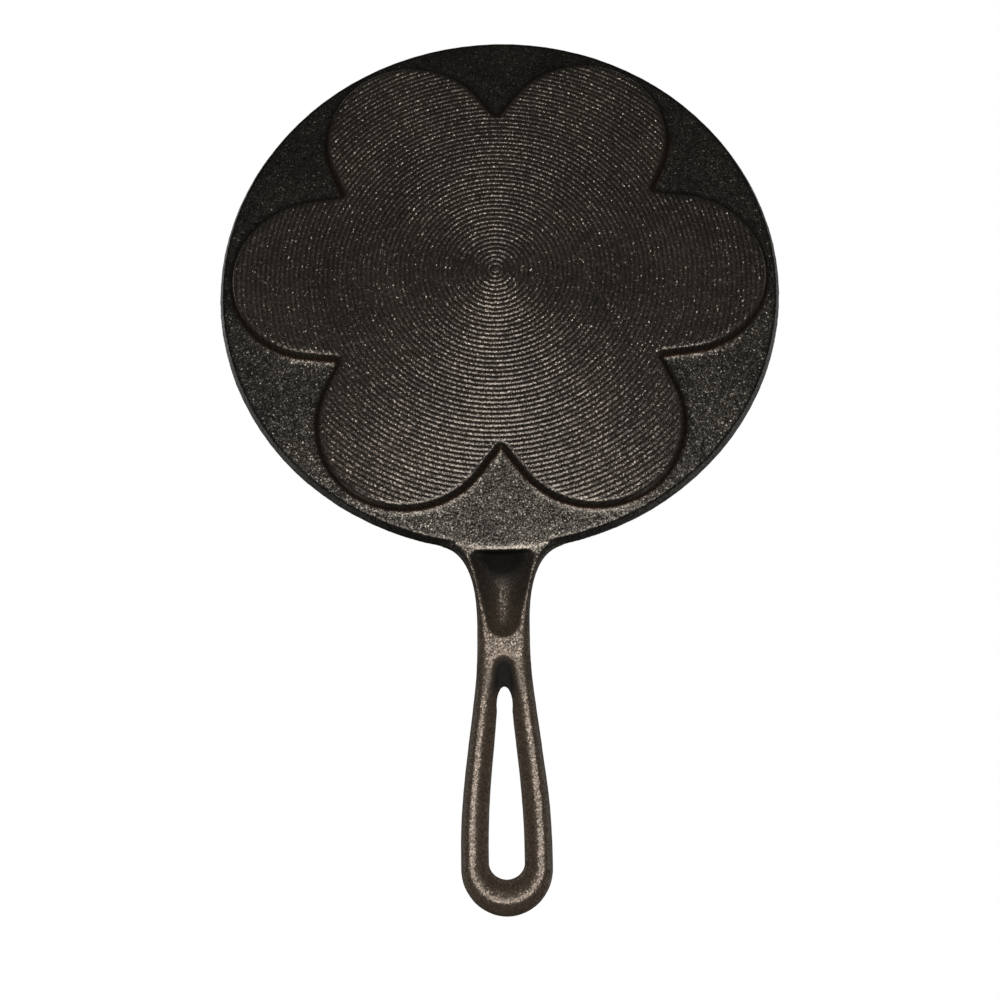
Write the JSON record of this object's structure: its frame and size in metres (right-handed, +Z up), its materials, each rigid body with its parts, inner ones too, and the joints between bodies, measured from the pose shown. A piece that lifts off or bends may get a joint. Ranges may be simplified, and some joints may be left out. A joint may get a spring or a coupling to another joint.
{
  "type": "plett pan",
  "caption": "Round flat cast iron pan with shallow pancake wells, a flower shaped turned base under them, and a handle that ends in a loop with a long hanging eye.",
  "frame": {"origin": "middle of the turned face that the pan stands on", "axes": "+Z up, out of the wells; the handle runs along -Y; +X is to the right for whoever holds it"},
  "size_m": [0.229, 0.3604, 0.0185],
  "materials": {
    "as_cast_iron": "sand cast and seasoned",
    "turned_iron": "turned in fine rings"
  },
  "bodies": {
    "root": {"well_plate": "as_cast_iron", "turned_base": "turned_iron", "handle_neck": "as_cast_iron", "handle_loop": "as_cast_iron"}
  },
  "joints": []
}
